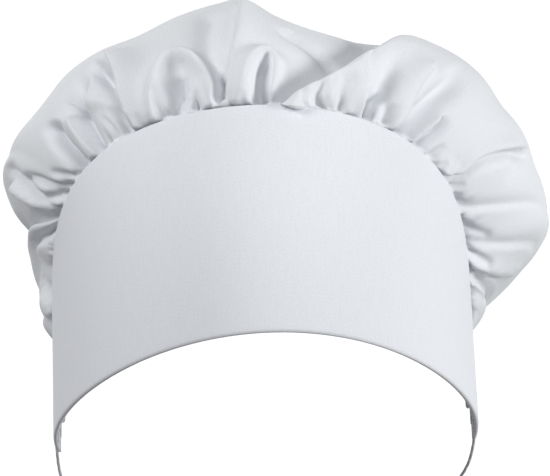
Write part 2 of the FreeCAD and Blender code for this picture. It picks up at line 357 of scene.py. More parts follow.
def seam_place(turn):
    """Angle and height of the crown seam; turn runs from -90 to 90 degrees."""
    t = np.radians(turn)
    height = SEAM_END_HEIGHT + SEAM_RISE * np.cos(t) + SEAM_SHOULDER * np.sin(2 * t) ** 2
    return BAND_END_ANGLE * np.sin(t), height


def band_point(u, v):
    """The head side of the band: u from end to end, v from the lower edge to the crown seam."""
    turn = 180 * u - 90
    seam_angle, seam_height = seam_place(turn)
    low_angle = mix(BAND_END_ANGLE * turn / 90, seam_angle, 0.8)
    angle = mix(low_angle, seam_angle, v)
    return head_point(angle, mix(band_low_height(low_angle), seam_height, v))


def outward(sheet, u, v, step=2e-3):
    """Unit normals of a sheet, away from the head."""
    along = sheet(np.minimum(u + step, 1), v) - sheet(np.maximum(u - step, 0), v)
    rising = sheet(u, np.minimum(v + step, 1)) - sheet(u, np.maximum(v - step, 0))
    return unit(np.cross(along, rising))


def cloth(name, across, along, shape, flat):
    """A sheet with UVs in mm of its flat size; shape(u, v) gives its points in mm."""
    bm = bmesh.new()
    bmesh.ops.create_grid(bm, x_segments=across, y_segments=along, size=0.5)
    uv = bm.loops.layers.uv.new("UVMap")
    for face in bm.faces:
        for loop in face.loops:
            loop[uv].uv = ((loop.vert.co.x + 0.5) * flat[0], (loop.vert.co.y + 0.5) * flat[1])
    places = np.array([v.co[:2] for v in bm.verts]) + 0.5
    points = shape(places[:, 0], places[:, 1])
    for vert, point in zip(bm.verts, points):
        vert.co = Vector(point) * MM
    return link_mesh(name, bm)


def thicken(piece, thickness, offset=-1.0):
    """Gives a sheet its thickness, on its head side for an offset of -1."""
    wall = piece.modifiers.new("cloth_thickness", "SOLIDIFY")
    wall.thickness = thickness * MM
    wall.offset = offset


def band_cloth_shape(u, v):
    """The outer cloth's face: from its turned-in lower edge, up the front, to its turned-in top."""
    low_run = np.clip(v / BAND_LOWER_ROLL, 0, 1)
    face_run = np.clip((v - BAND_LOWER_ROLL) / (BAND_UPPER_ROLL - BAND_LOWER_ROLL), 0, 1)
    top_run = np.clip((v - BAND_UPPER_ROLL) / (1 - BAND_UPPER_ROLL), 0, 1)
    height = np.linalg.norm(band_point(u, np.ones_like(u)) - band_point(u, np.zeros_like(u)), axis=-1)
    roll_share = BAND_ROLL / height
    under = math.pi * low_run
    over = math.pi / 2 * top_run
    place = np.where(low_run < 1, roll_share * (1 - np.sin(under)), mix(roll_share, 1 - roll_share, face_run))
    place = np.where(top_run > 0, 1 - roll_share * (1 - np.sin(over)), place)
    half = BAND_THICK / 2
    offset = np.where(low_run < 1, half - half * np.cos(under), BAND_THICK)
    offset = np.where(top_run > 0, BAND_THICK - BAND_ROLL * (1 - np.cos(over)), offset)
    end_run = np.clip(np.minimum(u, 1 - u) * BAND_GIRTH / BAND_END_ROLL, 0, 1)
    offset = offset * np.sqrt(1 - (1 - end_run) ** 2)
    return band_point(u, place) + outward(band_point, u, np.clip(place, 0.02, 0.98)) * offset[:, None]


# Twill of bleached cotton and polyester: matt, with fine slubs along its warp and weft, grey where
# the yarn is thin. Its diagonal lines are a millimetre apart, twice as coarse as real ones, to show.
def twill(name, light, shade, relief, slub_length):
    """A woven cloth, its slubs so many mm long; relief is how strongly the weave stands out."""
    made, tree = new_material(name)
    uv = add_node(tree, "ShaderNodeTexCoord").outputs["UV"]
    warp = add_node(tree, "ShaderNodeMapping", {"Vector": uv, "Scale": (1.3, 1 / slub_length, 1)})
    slubs = add_node(tree, "ShaderNodeTexNoise", {"Vector": warp.outputs[0], "Scale": 1.0, "Detail": 2.0})
    weft = add_node(tree, "ShaderNodeMapping", {"Vector": uv, "Scale": (0.12, 1.6, 1)})
    cross = add_node(tree, "ShaderNodeTexNoise", {"Vector": weft.outputs[0], "Scale": 1.0, "Detail": 2.0})
    both = add_node(
        tree, "ShaderNodeMath", {0: slubs.outputs["Fac"], 1: 0.65, 2: cross.outputs["Fac"]},
        operation="MULTIPLY_ADD",
    )
    grain = add_node(tree, "ShaderNodeTexNoise", {"Vector": uv, "Scale": 1.4, "Detail": 3.0})
    fleck = add_node(
        tree, "ShaderNodeMath", {0: slubs.outputs["Fac"], 1: 0.4, 2: grain.outputs["Fac"]},
        operation="MULTIPLY_ADD",
    )
    tone = add_node(tree, "ShaderNodeMapRange", {"Value": fleck.outputs[0], "From Min": 0.45, "From Max": 0.95})
    lines = add_node(
        tree, "ShaderNodeTexWave", {"Vector": uv, "Scale": 0.45, "Distortion": 0.6}, bands_direction="DIAGONAL",
    )
    weave = add_node(
        tree, "ShaderNodeMath", {0: lines.outputs["Fac"], 1: 0.25, 2: both.outputs[0]},
        operation="MULTIPLY_ADD",
    )
    bump = add_node(
        tree, "ShaderNodeBump", {"Height": weave.outputs[0], "Strength": relief, "Distance": 0.12 * MM},
    )
    tint = add_node(
        tree, "ShaderNodeMix", {0: tone.outputs[0], 6: srgb(shade), 7: srgb(light)}, data_type="RGBA",
    )
    finish_material(
        tree, Base_Color=tint.outputs[2], Roughness=0.82, Normal=bump.outputs["Normal"], Sheen_Weight=0.08,
    )
    return made


# Pressed flat over the interfacing, so its weave stands out little.
band_twill = twill("pressed_twill", "E6E8EC", "DBDEE3", 0.16, 9)
band = cloth("forehead_band_cloth", 200, 60, band_cloth_shape, BAND_FLAT)
thicken(band, TWILL_THICK)
band.data.materials.append(band_twill)
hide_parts("band_outer")


def lining_shape(u, v):
    """The lining's face, ending a little inside the band's own edges."""
    u = mix(0.004, 0.996, u)
    place = mix(0.03, 0.985, v)
    return band_point(u, place) + outward(band_point, u, place) * LINING_INSET


# Plain cotton lawn: shorter slubs and a whiter, softer face.
lining_cotton = twill("plain_lining_cotton", "EEEFF1", "E4E5E8", 0.25, 4)
lining = cloth("forehead_band_lining", 160, 40, lining_shape, BAND_FLAT)
thicken(lining, LINING_THICK)
lining.data.materials.append(lining_cotton)
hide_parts("band_lining")


# ---------------------------------------------------------------- crown
# One large oval of the same twill, unlined, gathered into the band's upper edge.
# Air and the cloth's own stiffness hold it up in lobes, with folds that run out of the seam.

CROWN_LAST_TURN = 85.0      # seam turn, in degrees, where the crown ends
CROWN_HEM_ANGLE = 79.0      # and where it ends on the casing, in degrees round from the back
HEM_END_ANGLE = 82.5
HEM_FOOT = -3.5             # lower edge of the hem, at the sides
HEM_RISE = 52.0             # rise of the hem from the sides to the back
HEM_WIDTH = 12.0
HEM_EASE = 2.2              # from the head form to the middle of the casing
PUFF = 82.0                 # how far the crown stands off its chord at the top
PUFF_POWER = 1.15           # how soon the puff dies away down the sides
PUFF_ENDS = 0.6             # the same stand-off at the band ends
PUFF_LAST_TURN = 80.0       # seam turn past which there is no puff
PUFF_FADE = 12.0            # turn over which it fades out before that
PUFF_STEEPNESS = 0.75       # under 1, the crown rises steeply from its seams
PUFF_FORWARD = 0.1          # how far the puff leans forward at the seam
PUFF_BACKWARD = 1.15        # and back at the hem
BACK_RISE = (0.3, 0.75)     # how far it still points up at the hem, behind and at the sides
BACK_RISE_TURN = 34.0       # turn from which it goes over from one to the other
BACK_RISE_FADE = 12.0
EVEN_TURN = 50.0            # turn up to which the seam's lobes even out towards the back
EVEN_FADE = 16.0
CROWN_COLUMNS = 470
CROWN_ROWS = 104
ROW_SPREAD = 0.42           # under 1, the rows lie closer together near the seam
CROWN_THICK = 0.45
SEAM_STAND = 0.7            # from the head form to the crown's face at the seam

# How full the crown is, against an even puff, at places along the seam in degrees.
FULLNESS = [
    (-85, 0.02), (-76, 0.04), (-71, 0.14), (-67, 0.43), (-62.5, 0.45), (-58, 0.54), (-54, 0.57), (-52, 0.59),
    (-50.2, 0.53), (-48.8, 0.50), (-47.6, 0.72), (-46, 0.88), (-41, 0.935), (-33, 0.93), (-25, 0.945),
    (-20, 0.94), (-15, 0.915), (-9, 0.955), (-4, 0.985), (-1, 1.00), (3, 0.89), (7, 0.83), (14, 0.82),
    (18, 0.88), (22, 0.97), (26, 1.03), (31, 1.05), (37, 1.04), (44, 1.14), (50, 1.20), (56, 1.29),
    (60, 1.33), (63, 1.05), (65.3, 0.54), (67.5, 0.50), (70, 0.36), (73, 0.14), (77, 0.05), (85, 0.02),
]


def spread(pairs, places):
    """Smooth curve through (place, value) pairs, by cubic Hermite spans."""
    x, y = np.array(pairs, float).T
    slope = np.gradient(y, x)
    k = np.clip(np.searchsorted(x, places) - 1, 0, len(x) - 2)
    gap = x[k + 1] - x[k]
    t = (places - x[k]) / gap
    a, b = 2 * t ** 3 - 3 * t ** 2 + 1, t ** 3 - 2 * t ** 2 + t
    c, d = -2 * t ** 3 + 3 * t ** 2, t ** 3 - t ** 2
    return a * y[k] + b * gap * slope[k] + c * y[k + 1] + d * gap * slope[k + 1]


def hem_point(u, v):
    """The casing's middle: u from end to end, v from its fold to its open edge."""
    from_back = HEM_END_ANGLE * (2 * u - 1)
    turn = np.radians(from_back)
    height = HEM_FOOT + HEM_RISE * np.cos(turn) + HEM_WIDTH * v
    ease = np.stack([np.sin(turn), np.cos(turn), 0 * turn], axis=-1) * HEM_EASE
    return head_point(180 - from_back, height) + ease


def crown_envelope(u, v):
    """The crown without its folds: u from end to end, v from the band seam to the casing."""
    turn = CROWN_LAST_TURN * (2 * u - 1)
    t = np.radians(turn)
    along = (turn + 90) / 180
    ones = np.ones_like(along)
    seam = band_point(along, ones) + outward(band_point, along, ones) * SEAM_STAND
    casing = hem_point(0.5 + (u - 0.5) * CROWN_HEM_ANGLE / HEM_END_ANGLE, ones)
    share = (1 - np.cos(math.pi * v)) / 2
    back_rise = mix(*BACK_RISE, smooth_step((np.abs(turn) - BACK_RISE_TURN) / BACK_RISE_FADE))
    lean = mix(-PUFF_FORWARD, PUFF_BACKWARD, share)
    away = np.stack([np.sin(t), lean, np.cos(t) * mix(1.0, back_rise, share)], axis=-1)
    even = smooth_step(share * 2 - 1) * smooth_step((EVEN_TURN - np.abs(turn)) / EVEN_FADE)
    amount = PUFF_ENDS + PUFF * np.cos(t) ** PUFF_POWER * mix(spread(FULLNESS, turn), 1.0, even)
    amount = mix(PUFF_ENDS, amount, smooth_step((PUFF_LAST_TURN - np.abs(turn)) / PUFF_FADE))
    rise = amount * np.sin(math.pi * share) ** PUFF_STEEPNESS
    return mix(seam, casing, share[:, None]) + unit(away) * rise[:, None]


# Folds. Each follows a path over the crown: places along the seam in degrees, each with its distance
# out of the seam in mm. Then come its height at even steps along it, below 0 for a valley, the widths in
# mm of its two sides, towards the wearer's right and left, and how far its crest leans over.
FOLDS = [
    # wearer's right, from the temple up
    ([(-72, 0), (-70, 8), (-66, 24)], (-2.5, -1.0), (3, 3), 0),
    ([(-67.5, 0), (-65.8, 4), (-63, 16), (-60.5, 32)], (-3.5, -2.0), (2.2, 4), 0),
    ([(-62, 2), (-59.5, 16), (-57, 40)], (-3.0, -3.5), (7, 7), 0),
    ([(-49.6, 0), (-52.0, 4), (-53.6, 10), (-54.0, 22), (-54.0, 34)], (-3.6, -3.0), (3.0, 2.2), 0),
    ([(-46.9, 0), (-48.6, 4), (-49.4, 10), (-49.4, 26), (-49.2, 60)], (-2.4, -2.4, -1.5), (2.6, 2.2), 0),
    ([(-43.6, 1), (-45.8, 7), (-46.8, 13), (-46.4, 20), (-45.6, 28), (-44.4, 46)], (-2.6, -3.2, -1.8),
     (4.0, 1.9), -0.8),
    ([(-45, 0), (-47, 9), (-47.6, 18), (-46.6, 34)], (1.0, 3.6), (3.0, 3.8), 0),
    ([(-41, 1), (-42.5, 4), (-43.8, 10), (-44.2, 16), (-45.0, 24)], (-2.2, -1.4), (2.6, 1.6), 0),
    ([(-38.6, 0), (-40, 5), (-41.4, 11)], (-2.4, -0.8), (1.6, 1.8), 0),
    ([(-36.6, 0), (-36.2, 9), (-35.8, 18), (-34.6, 28)], (-5.6, -5.0), (3.0, 2.6), 0),
    ([(-32.8, 1), (-32.8, 10), (-32.0, 22), (-30.0, 34)], (1.8, 1.4), (2.6, 1.4), 1.2),
    ([(-31.6, 0), (-31.2, 8), (-30.7, 15), (-30.0, 23), (-29.4, 29)], (-4.4, -5.6), (1.1, 4.2), 0),
    ([(-30.2, 28), (-28.6, 34), (-26.8, 42), (-25.4, 50)], (-7.0, -8.0, -6.0, -2.0), (4.0, 3.8), 0),
    ([(-29, 25), (-27, 23), (-25, 20), (-23.6, 17)], (1.6, 1.6), (5.5, 4.0), 0),
    ([(-28.6, 0), (-28.2, 6), (-27.8, 10)], (-1.6, -0.4), (1.3, 2.0), 0),
    ([(-26.8, 0), (-26.4, 6), (-26.6, 12)], (-2.0, -0.6), (1.4, 1.2), 0),
    ([(-24.9, 0), (-24.6, 8), (-24.9, 14)], (-2.6, -0.8), (1.2, 1.6), 0),
    ([(-22.0, 1), (-21.7, 8), (-20.9, 18), (-20.2, 30), (-20.0, 44)], (2.2, 3.0, 3.0), (1.1, 8), -1.8),
    ([(-23.4, 0), (-22.6, 14), (-22.2, 28), (-22.2, 39), (-22.0, 48)], (-1.6, -3.0, -4.0, -6.4, -5.0),
     (4.6, 1.5), 0),
    ([(-22.0, 0), (-21.6, 6)], (-1.4, -0.4), (1.0, 1.0), 0),
    ([(-20.2, 0), (-20.1, 5)], (-1.8, -0.4), (1.1, 1.1), 0),
    # round puff over the wearer's right brow
    ([(-16.8, 0), (-16.9, 6), (-16.2, 13), (-15.0, 20), (-13.4, 26), (-11.4, 28.5), (-9.6, 26), (-8.0, 20),
      (-6.9, 14), (-6.8, 8), (-7.6, 1)], (1.4, 3.6, 4.2, 3.6, 3.2, 2.2), (3.6, 3.6), 0),
    ([(-12.6, 11), (-12.0, 17), (-11.6, 21)], (-2.6, -2.0, -1.4), (4.0, 4.0), 0),
    ([(-16.6, 0), (-16.7, 6), (-16.2, 12)], (-3.6, -1.4), (1.1, 2.2), 0),
    ([(-14.6, 1), (-13.9, 5), (-12.9, 10), (-12.2, 16)], (-3.6, -2.6), (1.6, 2.6), 0),
    ([(-13.2, 0), (-12.6, 4), (-11.6, 6)], (-2.4, -0.8), (0.9, 1.1), 0),
    ([(-10.4, 0), (-10.1, 5), (-9.8, 8)], (-2.6, -0.8), (1.0, 1.2), 0),
    # tucked hollow between the two puffs, and the flap over it
    ([(-5.6, 5), (-5.3, 9), (-5.1, 14)], (-3.8, -4.2), (2.6, 1.5), 0),
    ([(-5.8, 17), (-6.4, 24), (-6.3, 36), (-5.4, 56)], (-3.2, -2.0), (5.0, 4.6), 0),
    ([(-3.6, 2), (-3.5, 9), (-3.0, 17), (-2.3, 26), (-1.6, 36), (-1.0, 62)], (2.4, 1.8), (1.2, 7), -1.8),
    ([(-1.6, 0), (-1.5, 4)], (-1.6, -0.4), (1.0, 1.0), 0),
    ([(0.4, 0), (0.3, 4)], (-1.4, -0.4), (1.0, 1.0), 0),
    # narrow puff over the forehead
    ([(-0.9, 2), (-0.9, 8), (-0.5, 14), (0.4, 20), (1.7, 24), (2.9, 22), (3.5, 17), (3.5, 11), (3.2, 5),
      (3.9, 0)], (3.0, 3.6), (3.4, 2.3), 0),
    ([(1.4, 1), (1.3, 7), (1.4, 13), (1.8, 16)], (-2.6, -2.6), (2.0, 1.4), 0),
    # deep valley, and the crown's large left lobe that folds over it
    ([(4.9, 2), (7.6, 7), (10.8, 14), (13.6, 22), (16.0, 32), (17.4, 46), (18, 70)], (-4.5, -7.0),
     (11.0, 2.6), 0),
    ([(5.5, 46), (9.5, 36), (13, 31)], (-2.0, -2.0), (1.6, 5.0), 0),
    ([(6.0, 1.5), (9.4, 5.5), (13.0, 11), (16.4, 20), (18.6, 31), (20.2, 46), (21.4, 72)], (3.0, 3.6, 1.6),
     (2.2, 9.0), -3.6),
    ([(5.2, 0), (7.4, 0.8), (9.4, 0.6)], (2.6, 1.8), (1.2, 1.6), 0),
    ([(12.6, 0), (12.2, 5), (12.8, 9)], (-3.2, -1.6), (1.5, 1.6), 0),
    ([(14.2, 0), (14.0, 4)], (-1.6, -0.6), (0.9, 0.9), 0),
    ([(16.0, 2), (16.0, 8), (16.3, 13)], (-1.6, -1.6), (2.6, 2.6), 0),
    ([(18.5, 1), (18.9, 8), (18.6, 16), (18.2, 29), (18.5, 44)], (2.0, 1.8, 0.6), (4.5, 1.3), 0.8),
    ([(19.0, 0), (19.2, 4)], (-1.8, -0.4), (0.9, 0.9), 0),
    ([(21.0, 0), (20.6, 8), (20.8, 14)], (-4.2, -2.2), (1.3, 1.6), 0),
    ([(20.9, 13), (21.3, 24), (21.9, 36), (22.6, 48)], (-3.8, -3.4, -1.0), (3.4, 5.2), 0),
    ([(24.2, 3), (24.0, 9)], (-2.2, -1.6), (2.2, 2.2), 0),
    ([(26.6, 0), (26.9, 8), (26.4, 16), (26.3, 26), (26.6, 40)], (2.6, 1.6), (4.5, 1.3), 1.0),
    ([(27.6, 0), (28.8, 9), (29.6, 24), (30.0, 38), (29.6, 54)], (-3.4, -4.4, -3.8, -0.6), (2.4, 6.4), 0),
    ([(30.8, 0), (31.8, 7), (32.4, 12), (33.0, 16)], (2.2, 1.2), (2.6, 1.2), 0.8),
    ([(32.2, 0), (33.5, 6), (34.1, 12), (33.8, 16)], (-3.2, -3.0), (1.2, 2.8), 0),
    ([(36.0, 0), (36.6, 4), (37.2, 8)], (-2.0, -0.6), (1.0, 1.4), 0),
    ([(38.6, 0), (39.6, 4)], (-1.8, -0.6), (1.0, 1.0), 0),
    # creases at the wearer's left temple
    ([(40.6, 0), (42.3, 4), (43.3, 8), (43.2, 12), (43.2, 17), (44.3, 27), (45.4, 37), (46.4, 52)],
     (2.4, 1.4), (4.5, 1.2), 0.9),
    ([(41.6, 0), (43.1, 4), (44.3, 9), (44.4, 17), (45.4, 27), (46.6, 38), (47.4, 50)], (-2.4, -1.5),
     (1.4, 4.2), 0),
    ([(46.8, 50), (48.8, 40), (50, 32)], (-2.0, -0.6), (3.6, 3.6), 0),
    ([(44.6, 0), (45.6, 3), (46.6, 7)], (-2.2, -0.5), (0.9, 1.2), 0),
    ([(47.0, 0), (47.8, 4)], (-1.8, -0.5), (0.9, 1.0), 0),
    ([(49, 0), (50.7, 4), (52.4, 10), (54.6, 24), (56.2, 46)], (-2.4, -1.1, -0.7), (3.2, 1.6), 0),
    ([(52.4, 0), (54, 2), (56.2, 6), (58, 11)], (-2.4, -1.2), (1.8, 2.2), 0),
    ([(56.4, 0), (58.2, 4), (60, 12), (61.2, 23), (61.6, 44)], (-2.2, -1.2, -0.7), (3.2, 1.6), 0),
    ([(57.6, 0), (59.6, 3), (61.2, 6), (62.8, 10)], (-2.8, -1.6), (1.4, 2.2), 0),
    # lower edge of the large lobe, and the small lobe under it
    ([(59.8, 0), (61.8, 3), (63.4, 9), (64.0, 18), (63.8, 36)], (1.6, 1.4), (3.6, 1.5), 1.0),
    ([(61.0, 0), (63.2, 3), (65.0, 9), (65.8, 18), (65.6, 40)], (-1.8, -1.8, -1.0), (1.4, 3.4), 0),
    ([(64.6, 0), (65.6, 5), (66.6, 12)], (2.0, 1.6), (1.6, 1.8), 0),
    ([(68.8, 0), (70, 2), (71.2, 7)], (-3.0, -1.6), (1.6, 1.8), 0),
    ([(75, 0), (76, 6)], (-1.8, -0.8), (1.8, 1.8), 0),
]

FOLD_DEPTH = 1.5         # mm for each 1 in the heights above and in those of the gathers below
SEWN_FLAT = 2.3          # the stitches hold the cloth flat this far out of the seam
HEM_SEWN_FLAT = 3.0
SEAM_DIP = 0.85          # how far the seam sinks behind the band's edge
# Gathers, none alike: degrees from one to the next, how uneven that is, the least and the most depth,
# width and reach in mm, how far they slant, and the distance in mm at which they are twice as wide.
# Small ones run all along the crown seam. The elastic gathers the back hem more loosely.
SEAM_GATHERS = dict(
    pitch=2.6 / 2.3, unevenness=0.45, depths=(0.4, 1.7), widths=(0.7, 1.2), reaches=(2.5, 8.0),
    slant=0.05, fade=math.inf,
)
HEM_GATHERS = dict(
    pitch=4.5 / 1.6, unevenness=0.5, depths=(0.7, 2.4), widths=(1.0, 2.0), reaches=(9.0, 46.0),
    slant=0.08, fade=28.0,
)
# The full cloth dents here and there: places in degrees and in mm out of the seam, and sizes in mm.
DENTS = 30
DENT_TURN = (-70, 70)
DENT_OUT = (85, 190)
DENT_WIDTH = (9, 20)
DENT_HEIGHT = (16, 38)
DENT_LIFT = (-3.2, 1.6)
# Where the large lobe's foot rolls down over the band's edge.
LAP_TURN = 8.0
LAP_WIDTH = 2.1          # degrees either way
LAP_OUT = 2.2            # mm out of the seam
LAP_REACH = 1.9          # and how far either way
LAP_DROP = 3.7
LAP_LIFT = 2.4


def distance_out(u, v):
    """Distance of each point from the seam, in mm, along its own run of the envelope."""
    posts, rungs = 40, 60
    ladder = np.linspace(0, 1, rungs + 1)
    table = []
    for post in np.linspace(0, 1, posts + 1):
        line = crown_envelope(np.full_like(ladder, post), ladder)
        steps = np.linalg.norm(np.diff(line, axis=0), axis=1)
        table.append(np.concatenate([[0], np.cumsum(steps)]))
    table = np.array(table)
    a = np.clip((u * posts).astype(int), 0, posts - 1)
    b = np.clip((v * rungs).astype(int), 0, rungs - 1)
    x, y = u * posts - a, v * rungs - b
    low = mix(table[a, b], table[a + 1, b], x)
    return mix(low, mix(table[a, b + 1], table[a + 1, b + 1], x), y)


def fold_line(stations, count=14):
    """Points along a fold's path, smoothly between its stations."""
    marks = np.linspace(0, 1, len(stations))
    if len(stations) == 2:
        ends = np.array(stations, float)
        return ends[0] + (ends[1] - ends[0]) * np.linspace(0, 1, 3)[:, None]
    return np.stack([
        spread([(m, station[axis]) for m, station in zip(marks, stations)], np.linspace(0, 1, count))
        for axis in (0, 1)
    ], axis=-1)


def fold_reach(line, turn, out, per_degree):
    """Each point's signed distance from a fold's line, in mm, and its share of the way along it."""
    nearest = np.full_like(turn, 1e9)
    signed = np.zeros_like(turn)
    along = np.zeros_like(turn)
    last = len(line) - 1
    for k in range(last):
        (turn_a, out_a), (turn_b, out_b) = line[k], line[k + 1]
        across, beyond = (turn_b - turn_a) * per_degree, out_b - out_a
        x, y = (turn - turn_a) * per_degree, out - out_a
        t = np.clip((x * across + y * beyond) / np.maximum(across ** 2 + beyond ** 2, 1e-9), 0, 1)
        away = np.hypot(x - t * across, y - t * beyond)
        closer = away < nearest
        side = np.where(x * beyond - y * across < 0, -1.0, 1.0)
        nearest = np.where(closer, away, nearest)
        signed = np.where(closer, side * away, signed)
        along = np.where(closer, (k + t) / last, along)
    return signed, along


def bump_profile(off, left, right):
    """1 on a fold's line, falling away over its width on each side."""
    return np.exp(-(off / np.where(off < 0, left, right)) ** 2)


def folds(turn, out, per_degree):
    """How far the folds lift each point, and how far their crests slide it along the seam."""
    lift = np.zeros_like(turn)
    slide = np.zeros_like(turn)
    for stations, heights, (left, right), lean in FOLDS:
        line = fold_line(stations)
        room = 3 * max(left, right)
        near = (turn > line[:, 0].min() - room / 1.2) & (turn < line[:, 0].max() + room / 1.2)
        near &= (out < line[:, 1].max() + room)
        off, along = fold_reach(line, turn[near], out[near], per_degree[near])
        shape = bump_profile(off, left, right)
        lift[near] += np.interp(along, np.linspace(0, 1, len(heights)), heights) * shape
        slide[near] += lean * shape
    return lift, slide


def gathers(chance, turn, per_degree, away, pitch, unevenness, depths, widths, reaches, slant, fade):
    """How far a row of gathers lifts each point, a distance away from the sewn edge; below 0 is in."""
    lift = np.zeros_like(turn)
    place = -CROWN_LAST_TURN
    while place < CROWN_LAST_TURN:
        place += pitch * chance.uniform(1 - unevenness, 1 + unevenness)
        depth, width = chance.uniform(*depths), chance.uniform(*widths)
        reach, fan = chance.uniform(*reaches), chance.uniform(-slant, slant)
        off = ((turn - place) * per_degree - fan * away) / (width * (1 + away / fade))
        lift -= depth * np.exp(-off ** 2 - (away / reach) ** 2)
    return lift


def dents(chance, turn, per_degree, out):
    """How far the dents lift each point."""
    lift = np.zeros_like(turn)
    for _ in range(DENTS):
        place, far = chance.uniform(*DENT_TURN), chance.uniform(*DENT_OUT)
        width, height = chance.uniform(*DENT_WIDTH), chance.uniform(*DENT_HEIGHT)
        most = chance.uniform(*DENT_LIFT)
        off = (turn - place) * per_degree + chance.uniform(-0.5, 0.5) * (out - far)
        lift += most * np.exp(-(off / width) ** 2 - ((out - far) / height) ** 2)
    return lift


def crown_shape(u, v):
    """The crown with its folds laid on the envelope, along its own normals and the seam."""
    v = mix(v * v, v, ROW_SPREAD)
    base = crown_envelope(u, v)
    step = 1e-3
    run_u = crown_envelope(np.minimum(u + step, 1), v) - crown_envelope(np.maximum(u - step, 0), v)
    run_v = crown_envelope(u, np.minimum(v + step, 1)) - crown_envelope(u, np.maximum(v - step, 0))
    normal = unit(np.cross(run_u, run_v))
    turn = CROWN_LAST_TURN * (2 * u - 1)
    wide = np.minimum(u + step, 1) - np.maximum(u - step, 0)
    per_degree = np.linalg.norm(run_u, axis=-1) / wide / (2 * CROWN_LAST_TURN)
    out = distance_out(u, v)
    from_hem = distance_out(u, np.ones_like(v)) - out
    chance = random.Random(7)
    lift, slide = folds(turn, out, per_degree)
    lift += gathers(chance, turn, per_degree, out, **SEAM_GATHERS)
    lift += gathers(chance, turn, per_degree, from_hem, **HEM_GATHERS)
    lift += dents(chance, turn, per_degree, out)
    sewn = smooth_step(out / SEWN_FLAT) * smooth_step(from_hem / HEM_SEWN_FLAT)
    lap = np.exp(-((turn - LAP_TURN) / LAP_WIDTH) ** 2 - ((out - LAP_OUT) / LAP_REACH) ** 2)
    raised = FOLD_DEPTH * lift * sewn - SEAM_DIP * np.exp(-out ** 2) + LAP_LIFT * lap
    moved = base + normal * raised[:, None] + unit(run_u) * (slide * sewn)[:, None]
    return moved - unit(run_v) * (LAP_DROP * lap)[:, None]


# The same cloth unpressed: its weave stands out more than on the band, and its tone is less even.
crown_twill = twill("gathered_twill", "E6E8EB", "DADDE1", 0.35, 9)
crown = cloth("crown_gathered", CROWN_COLUMNS, CROWN_ROWS, crown_shape, (430, 300))
thicken(crown, CROWN_THICK)
crown.data.materials.append(crown_twill)
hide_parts("crown")


# ---------------------------------------------------------------- back hem
# The crown's back edge is turned up twice into a casing and sewn, with a flat elastic inside.
# The elastic draws it in, so the casing ripples; a bar tack at each end holds the elastic.

CASING_THICK = 0.4
CASING_ROOM = 1.2
CASING_RIPPLE = 0.45
CASING_RIPPLES = 58
CASING_RIM = 0.35        # share of the ripple that is left halfway round the strip


def folded(edge_sheet, width, room):
    """A strip folded lengthwise round an edge, as a sheet with v from rim to rim."""
    straight = width - room / 2
    whole = 2 * straight + math.pi * room / 2

    def sheet(u, v):
        run = v * whole
        turn = np.clip((run - straight) / (room / 2), 0, math.pi)
        height = room / 2 * (1 - np.sin(turn))
        height = np.where(run < straight, width - run, height)
        height = np.where(run > whole - straight, width - (whole - run), height)
        share = height / width
        off = room / 2 * np.cos(turn)
        return edge_sheet(u, share) + outward(edge_sheet, u, np.clip(share, 0.02, 0.98)) * off[:, None]

    return sheet


def hem_shape(u, v):
    """The casing with its ripples, uneven in spacing and strongest at its open edge."""
    wave = np.sin(u * math.tau * CASING_RIPPLES + 2.2 * np.sin(u * 31)) * CASING_RIPPLE
    wave *= mix(CASING_RIM, 1, np.abs(2 * v - 1))
    flat = folded(hem_point, HEM_WIDTH, CASING_ROOM)(u, v)
    return flat + outward(hem_point, u, np.full_like(v, 0.5)) * wave[:, None]


hem = cloth("back_hem_casing", 420, 22, hem_shape, (300, 24))
thicken(hem, CASING_THICK, 0)
hem.data.materials.append(crown_twill)
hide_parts("hem_casing")

# Woven elastic: rubber threads under white polyester, in ribs a millimetre apart.
elastic, tree = new_material("ribbed_woven_elastic")
coords = add_node(tree, "ShaderNodeTexCoord")
ribs = add_node(
    tree, "ShaderNodeTexWave", {"Vector": coords.outputs["Object"], "Scale": 320.0}, bands_direction="Z",
)
bump = add_node(
    tree, "ShaderNodeBump", {"Height": ribs.outputs["Fac"], "Strength": 0.5, "Distance": 0.15 * MM},
)
finish_material(tree, Base_Color=srgb("E8E9EA"), Roughness=0.8, Normal=bump.outputs["Normal"])


def finish_cad(name, material):
    """Gives a CAD node one material in all its slots."""
    slots = nodes[name].data.materials
    for place in range(max(1, len(slots))):
        if place < len(slots):
            slots[place] = material
        else:
            slots.append(material)


finish_cad("hem_elastic", elastic)


# ---------------------------------------------------------------- seam binding
# Bias-cut cotton tape folded over the raw edges of the crown seam, inside the band.
# It is sewn through once and pressed down against the lining.

BINDING_WIDTH = 8.0
BINDING_ROOM = 1.2
BINDING_THICK = 0.45
BINDING_CLEARANCE = 0.6  # off the lining
BINDING_FLAT = (370, 17)


def binding_point(u, v):
    """Middle plane of the binding: v from its fold, below, to the crown seam."""
    u = mix(0.03, 0.97, u)
    ones = np.ones_like(u)
    top = band_point(u, ones)
    down = band_point(u, 0.8 * ones) - top
    whole = np.linalg.norm(band_point(u, 0 * ones) - top, axis=-1)
    reach = np.minimum(BINDING_WIDTH, 0.8 * whole) * (1 - v)
    off = BINDING_CLEARANCE + BINDING_ROOM / 2
    return top + unit(down) * reach[:, None] - outward(band_point, u, 0.9 * ones) * off


# Soft cotton tape, finer than the twill, with short slubs.
tape_cotton = twill("bias_cut_tape", "EFEFF0", "E5E5E6", 0.3, 3)
binding_shape = folded(binding_point, BINDING_WIDTH, BINDING_ROOM)
binding = cloth("seam_bias_binding", 300, 20, binding_shape, BINDING_FLAT)
thicken(binding, BINDING_THICK, 0)
binding.data.materials.append(tape_cotton)
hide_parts("seam_binding")


# ---------------------------------------------------------------- sweatband and labels
# A strip of looped cotton towelling inside the forehead, and two blank satin tabs
# beside it at the wearer's left, each sewn along its top.

